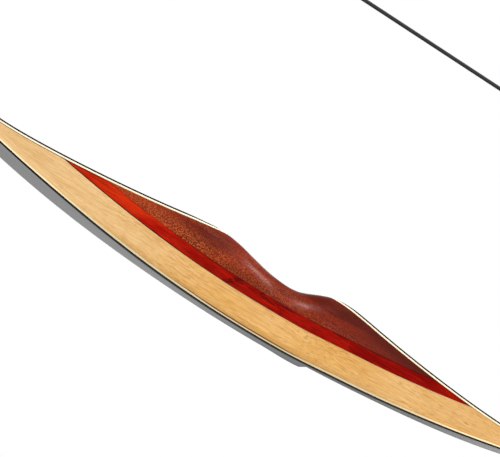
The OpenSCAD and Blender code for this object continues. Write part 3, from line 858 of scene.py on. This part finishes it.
for end, up in (("upper", True), ("lower", False)):
    sign = 1 if up else -1
    riser_part = [s for s in RISER_STATIONS if s * sign > 0.01 and abs(s) < RISER_HALF]
    riser_part = sorted(riser_part, key=abs)
    stations = [sign * 1e-6] + riser_part + [sign * p for p in LIMB_STATIONS]
    for layer, k, levels, material, slot, style in LAYERS:
        chosen = stations if k < 3 else [s for s in kept(stations, k) if abs(s) > 20]
        piece = board(f"{end}_{layer}_strip", chosen, k, levels, False, style)
        nodes = [f"{end}_{layer}"]
        if k >= 3:
            nodes.append(f"{end}_ramp_{'core' if k == 6 else 'glass'}")
        elif up:
            nodes.append(f"riser_{layer}")
        dress(piece, material, slot, *nodes)
        point_on_back(300, up)
        point_on_back(640, up)
        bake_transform(piece)

    for layer, crown, top_of, bottom_of, material, slot in (
            ("tip_underlay", False, lambda p: -UNDERLAY * fade_in(p),
             lambda p: 0.0, M_BACK_CORE, "cream_core"),
            ("tip_overlay", True, lambda p: -(UNDERLAY + OVERLAY) * fade_in(p),
             lambda p: -UNDERLAY * fade_in(p), M_OVERLAY, "overlay_wood")):
        rings, grain, edge = [], [], []
        for p in TIP_STATIONS:
            row = overlay_ring(p, top_of(p), bottom_of(p), crown)
            rings.append(at_end([place(p, x, d) for x, d in row], up))
            grain.append([(p, x, d) for x, d in row])
            edge.append([AWAY_FROM_EDGES] * len(row))
        piece = rings_mesh(f"{end}_{layer}_shaped", rings, grain, edge, flip=up)
        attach(dress(piece, material, slot, f"{end}_{layer}"), f"{end}_limb")


# ---------------------------------------- string
PITCH = 1.2                # from one turn of the servings' thread to the next
THREAD_DEPTH = 0.26        # depth of the valley between two turns
THREAD_PROUD = 0.17        # how far the centre serving stands proud of the plain sleeve, towards the bow
RECURVE_SINK = 0.75        # how far the string's end goes down towards the belly,
SINK_START = 42.0          # from how far before the nock
SINK_RUN = 14.0            # and over which length
STRANDS = 12
STRAND_TWIST = 42.0        # length of one turn of the strands
BUNDLE_AROUND = 72
SPLIT_LENGTH = 9.0         # over its last part the end serving widens towards the loop's two legs:
SPLIT_RUN = 8.0            # over this length
SPLIT_WIDE = 0.62          # it gains this share of its width
SPLIT_HIGH = 0.14          # and loses this share of its height
LIFT_RUN = 14.0            # two points on the string are taken this far to either side of the recurve's joint


def wound(path, length, radius, step, around, hand, shape=None):
    """A cord wound with thread, closed at both ends; path(l) gives a place and three directions."""
    count = int(round(length / step))
    stops = [length * i / count for i in range(count + 1)]
    rings, grain = [], []
    angles = np.arange(around) * 2 * pi / around

    def add(l, scale, beyond=0.0):
        c, u, v, w = path(l)
        turn = (l / PITCH + hand * angles / (2 * pi)) % 1.0
        r = (radius - THREAD_DEPTH * (1 - np.sqrt(1 - (2 * turn - 1) ** 2 * 0.98))) * scale
        wide, high = shape(l) if shape else (1.0, 1.0)
        pts = (np.array(c)[None] + (r * np.cos(angles) * wide)[:, None] * np.array(u)[None]
               + (r * np.sin(angles) * high)[:, None] * np.array(v)[None] + beyond * np.array(w)[None])
        rings.append(pts)
        grain.append(np.stack([np.full(around, l + beyond), radius * np.cos(angles),
                               radius * np.sin(angles)], 1))

    for a in (80, 60, 40, 20):
        add(0.0, cos(radians(a)), -radius * 0.9 * sin(radians(a)))
    for l in stops:
        add(l, 1.0)
    for a in (20, 40, 60, 80):
        add(length, cos(radians(a)), radius * 0.5 * sin(radians(a)))
    return rings, grain


def string_path(up):
    """Middle of the string from the nocking point, straight up to the recurve and round it."""
    straight = CENTRE_Z + RECURVE_Z - NOCKING if up else NOCKING - (CENTRE_Z - RECURVE_Z)

    def path(l):
        if l <= straight:
            z = NOCKING + l if up else NOCKING - l
            return (0, -BRACE, z), (1, 0, 0), (0, 1, 0), (0, 0, 1 if up else -1)
        a = (l - straight) / (RECURVE_RADIUS + STRING_SEAT)
        t = a * RECURVE_RADIUS - CONTACT
        b = -STRING_SEAT - RECURVE_SINK * ease((t + SINK_START) / SINK_RUN)
        c = at_end([tip_place(0, b, t)], up)[0]
        s = 1 if up else -1
        return tuple(c), (1, 0, 0), (0, cos(a), -s * sin(a)), (0, sin(a), s * cos(a))

    return path, straight


def loop_path(up):
    """Middle of the loop, from the end of one leg through the nock and back to the other."""
    # half of it, from the leg's end to the middle of the back, as places on the tip
    leg = [(LEG_R + 0.02, LEG_B, -LOOP_LENGTH - 0.6), (LEG_R + 0.02, LEG_B, -LOOP_LENGTH + 4),
           (LEG_R + 0.7, LEG_B, -LOOP_LENGTH + 8), (4.4, LEG_B, -13), (7.6, LEG_B, -6),
           (GROOVE_X - 0.25, LEG_B, -3.2),
           (GROOVE_X, LEG_B + 0.25, -1.5), (GROOVE_X, -0.2, -0.2), (GROOVE_X, 1.6, 1.5),
           (GROOVE_X, BACK_B - 2.6, LOOP_RUN * (BACK_B - 2.6) / BACK_B),
           (GROOVE_X - 0.1, BACK_B - 1, LOOP_RUN - 0.6), (GROOVE_X - 0.5, BACK_B - 0.1, LOOP_RUN - 0.15),
           (GROOVE_X - 1.2, BACK_B + 0.27, LOOP_RUN), (GROOVE_X - 2.6, BACK_B + 0.3, LOOP_RUN)]
    half = np.array([tip_place(*q) for q in leg])
    pts = np.concatenate([half, half[::-1] * np.array([-1, 1, 1])])
    # a centripetal spline through the points, which doesn't overshoot at the nock's corners
    dense = []
    padded = np.concatenate([[2 * pts[0] - pts[1]], pts, [2 * pts[-1] - pts[-2]]])
    for i in range(len(pts) - 1):
        p0, p1, p2, p3 = padded[i:i + 4]
        t0 = 0.0
        t1 = max(1e-6, np.linalg.norm(p1 - p0) ** 0.5)
        t2 = t1 + np.linalg.norm(p2 - p1) ** 0.5
        t3 = t2 + max(1e-6, np.linalg.norm(p3 - p2) ** 0.5)
        for t in np.linspace(t1, t2, 24, endpoint=False):
            a1 = (t1 - t) / (t1 - t0) * p0 + (t - t0) / (t1 - t0) * p1
            a2 = (t2 - t) / (t2 - t1) * p1 + (t - t1) / (t2 - t1) * p2
            a3 = (t3 - t) / (t3 - t2) * p2 + (t - t2) / (t3 - t2) * p3
            b1 = (t2 - t) / (t2 - t0) * a1 + (t - t0) / (t2 - t0) * a2
            b2 = (t3 - t) / (t3 - t1) * a2 + (t - t1) / (t3 - t1) * a3
            dense.append((t2 - t) / (t2 - t1) * b1 + (t - t1) / (t2 - t1) * b2)
    dense.append(pts[-1])
    dense = at_end(dense, up)
    run = np.concatenate([[0], np.cumsum(np.linalg.norm(np.diff(dense, axis=0), axis=1))])
    # carry a frame along so that the thread doesn't twist
    way = np.gradient(dense, axis=0)
    way /= np.linalg.norm(way, axis=1)[:, None]
    u = np.cross(way[0], [0, 0.8, 0.6])
    us = []
    for w in way:
        u = u - w * (u @ w)
        u = u / np.linalg.norm(u)
        us.append(u)
    us = np.array(us)

    def path(l):
        c = [np.interp(l, run, dense[:, i]) for i in range(3)]
        w = np.array([np.interp(l, run, way[:, i]) for i in range(3)])
        w /= np.linalg.norm(w)
        side = np.array([np.interp(l, run, us[:, i]) for i in range(3)])
        side -= w * (side @ w)
        side /= np.linalg.norm(side)
        return c, side, np.cross(w, side), w

    return path, float(run[-1])


for end, up in (("upper", True), ("lower", False)):
    path, straight = string_path(up)
    hand = 1 if up else -1
    whole = straight + (CONTACT - LOOP_LENGTH - 0.5) * (RECURVE_RADIUS + STRING_SEAT) / RECURVE_RADIUS
    served = SERVING_ABOVE if up else SERVING_BELOW
    end_start = straight - END_SERVING

    def full_path(l, path=path):
        c, u, v, w = path(l)
        return (c[0], c[1] + THREAD_PROUD, c[2]), u, v, w

    rings, grain = wound(full_path, served, SERVED_R + THREAD_PROUD, PITCH / 7, 20, hand)
    piece = rings_mesh(f"{end}_centre_serving_thread", rings, grain, flip=not up)
    dress(piece, M_SERVING, "serving_thread", f"{end}_centre_serving", f"{end}_nocking_serving")
    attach(piece, f"{end}_string")

    def split_shape(l, start=whole - SPLIT_LENGTH):
        k = ease((l - start) / SPLIT_RUN)
        return 1 + SPLIT_WIDE * k, 1 - SPLIT_HIGH * k

    def end_path(l, path=path, start=end_start):
        return path(l + start)

    rings, grain = wound(end_path, whole - end_start, SERVED_R, PITCH / 7, 20, hand,
                         shape=lambda l, s=end_start: split_shape(l + s))
    piece = rings_mesh(f"{end}_end_serving_thread", rings, grain, flip=not up)
    dress(piece, M_SERVING, "serving_thread", f"{end}_end_serving", f"{end}_tip_serving")
    lift_a = tuple(np.array(path(straight - LIFT_RUN)[0]) * MM)
    lift_b = tuple(np.array(path(straight + LIFT_RUN)[0]) * MM)
    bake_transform(piece)

    # the bare strands: a bundle with a slight twist, which runs on under the servings
    angles = np.arange(BUNDLE_AROUND) * 2 * pi / BUNDLE_AROUND
    stops = (span(0.3, served - 2, 6) + span(served - 2, end_start + 2, 1.1)
             + span(end_start + 2, whole, 4) + [whole])
    rings, grain = [], []
    for l in stops:
        c, u, v, _ = path(l)
        bare = 1.0 if served - 3 < l < end_start + 3 else 0.94
        turned = angles - hand * 2 * pi * l / STRAND_TWIST
        r = STRAND_R * bare * (0.93 + 0.07 * np.abs(np.cos(STRANDS / 2 * turned)) ** 0.7)
        rings.append(np.array(c)[None] + (r * np.cos(angles))[:, None] * np.array(u)[None]
                     + (r * np.sin(angles))[:, None] * np.array(v)[None])
        grain.append(np.stack([np.full(BUNDLE_AROUND, l), r * np.cos(angles), r * np.sin(angles)], 1))
    piece = rings_mesh(f"{end}_strand_bundle", rings, grain, flip=not up)
    dress(piece, M_STRANDS, "strands", f"{end}_strands", f"{end}_nocking_strands", f"{end}_tip_strands")
    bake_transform(piece)

    # the loop: two legs and the seat in the nocks
    path, length = loop_path(up)
    rings, grain = wound(path, length, LEG_R, PITCH / 6, 16, 1)
    piece = rings_mesh(f"{end}_loop_thread", rings, grain, flip=True)
    dress(piece, M_SERVING, "serving_thread", f"{end}_loop_legs", f"{end}_nock_loop")
    a = tuple(at_end([tip_place(0, LEG_B, -0.8)], up)[0] * MM)
    b = tuple(at_end([tip_place(0, LEG_B, -5.5)], up)[0] * MM)
    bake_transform(piece)

# ---------------------------------------- floor, light and surroundings
FLOOR_GAP = 0.003
FLOOR_NEAR = 1.5           # metres from the middle at which the floor starts to fade,
FLOOR_FAR = 9.0            # and at which it is white
bpy.ops.mesh.primitive_plane_add(size=24, location=(0, 0, CAD_BOX[0].z - FLOOR_GAP))
floor = bpy.context.object
floor.name = "floor"
paint = Nodes("floor_paint")
paint.finish((0.86, 0.86, 0.85), 0.9)
# the camera sees the floor paler than it is lit, fading to white with the distance; the shadow stays
place_on_floor = paint.tree.nodes.new("ShaderNodeTexCoord").outputs["Object"]
distance = paint.tree.nodes.new("ShaderNodeVectorMath")
distance.operation = "LENGTH"
paint.put(distance.inputs[0], place_on_floor)
pale = paint.ramp(distance.outputs["Value"], FLOOR_NEAR, FLOOR_FAR, 0.5, 1.0)
camera_ray = paint.tree.nodes.new("ShaderNodeLightPath").outputs["Is Camera Ray"]
glow = paint.tree.nodes.new("ShaderNodeEmission")
glow.inputs["Color"].default_value = (1, 1, 1, 1)
glow.inputs["Strength"].default_value = 1.0
both = paint.tree.nodes.new("ShaderNodeMixShader")
paint.put(both.inputs[0], paint.times(pale, camera_ray))
paint.put(both.inputs[1], paint.shader.outputs[0])
paint.put(both.inputs[2], glow.outputs[0])
paint.put(paint.tree.nodes["Material Output"].inputs["Surface"], both.outputs[0])
floor.data.materials.append(paint.material)

# the surroundings light the object softly, and look white to the camera, in gloss and through glass
AMBIENT = 0.435
world = bpy.data.worlds.new("studio")
bpy.context.scene.world = world
world.use_nodes = True
sky = world.node_tree
sky.nodes.clear()
rays = sky.nodes.new("ShaderNodeLightPath")
seen = rays.outputs["Is Camera Ray"]
for ray in ("Is Glossy Ray", "Is Transmission Ray"):
    either = sky.nodes.new("ShaderNodeMath")
    either.operation = "MAXIMUM"
    sky.links.new(seen, either.inputs[0])
    sky.links.new(rays.outputs[ray], either.inputs[1])
    seen = either.outputs[0]
soft = sky.nodes.new("ShaderNodeBackground")
soft.inputs["Strength"].default_value = AMBIENT
white = sky.nodes.new("ShaderNodeBackground")
white.inputs["Strength"].default_value = 1.0
for node in (soft, white):
    node.inputs["Color"].default_value = (1, 1, 1, 1)
blend = sky.nodes.new("ShaderNodeMixShader")
out = sky.nodes.new("ShaderNodeOutputWorld")
sky.links.new(seen, blend.inputs[0])
sky.links.new(soft.outputs[0], blend.inputs[1])
sky.links.new(white.outputs[0], blend.inputs[2])
sky.links.new(blend.outputs[0], out.inputs[0])


def area(name, place_at, aim, size, power):
    lamp = bpy.data.lights.new(name, "AREA")
    lamp.shape = "RECTANGLE"
    lamp.size, lamp.size_y = size
    lamp.energy = power
    obj = bpy.data.objects.new(name, lamp)
    bpy.context.collection.objects.link(obj)
    obj.location = place_at
    obj.rotation_euler = (Vector(aim) - Vector(place_at)).to_track_quat("-Z", "Y").to_euler()


# the two keys give the photo's two highlights on the grip
GRIP = (0.011, 0.003, -0.01)
area("key_high", (0.86, -1.23, 0.55), GRIP, (0.44, 0.16), 8.6)
area("key_low", (1.22, -1.04, 0.04), GRIP, (0.36, 0.24), 12.5)
area("fill", (1.7, 0.9, 0.3), (0, 0, 0), (1.4, 1.4), 3)
area("behind", (-1.8, -0.6, 0.8), (0, 0, 0), (1.4, 1.4), 14)
area("back_soft", (0.7, 2.2, 0.6), (0, 0, 0), (1.4, 1.4), 10)

bpy.context.scene.view_settings.view_transform = "Standard"
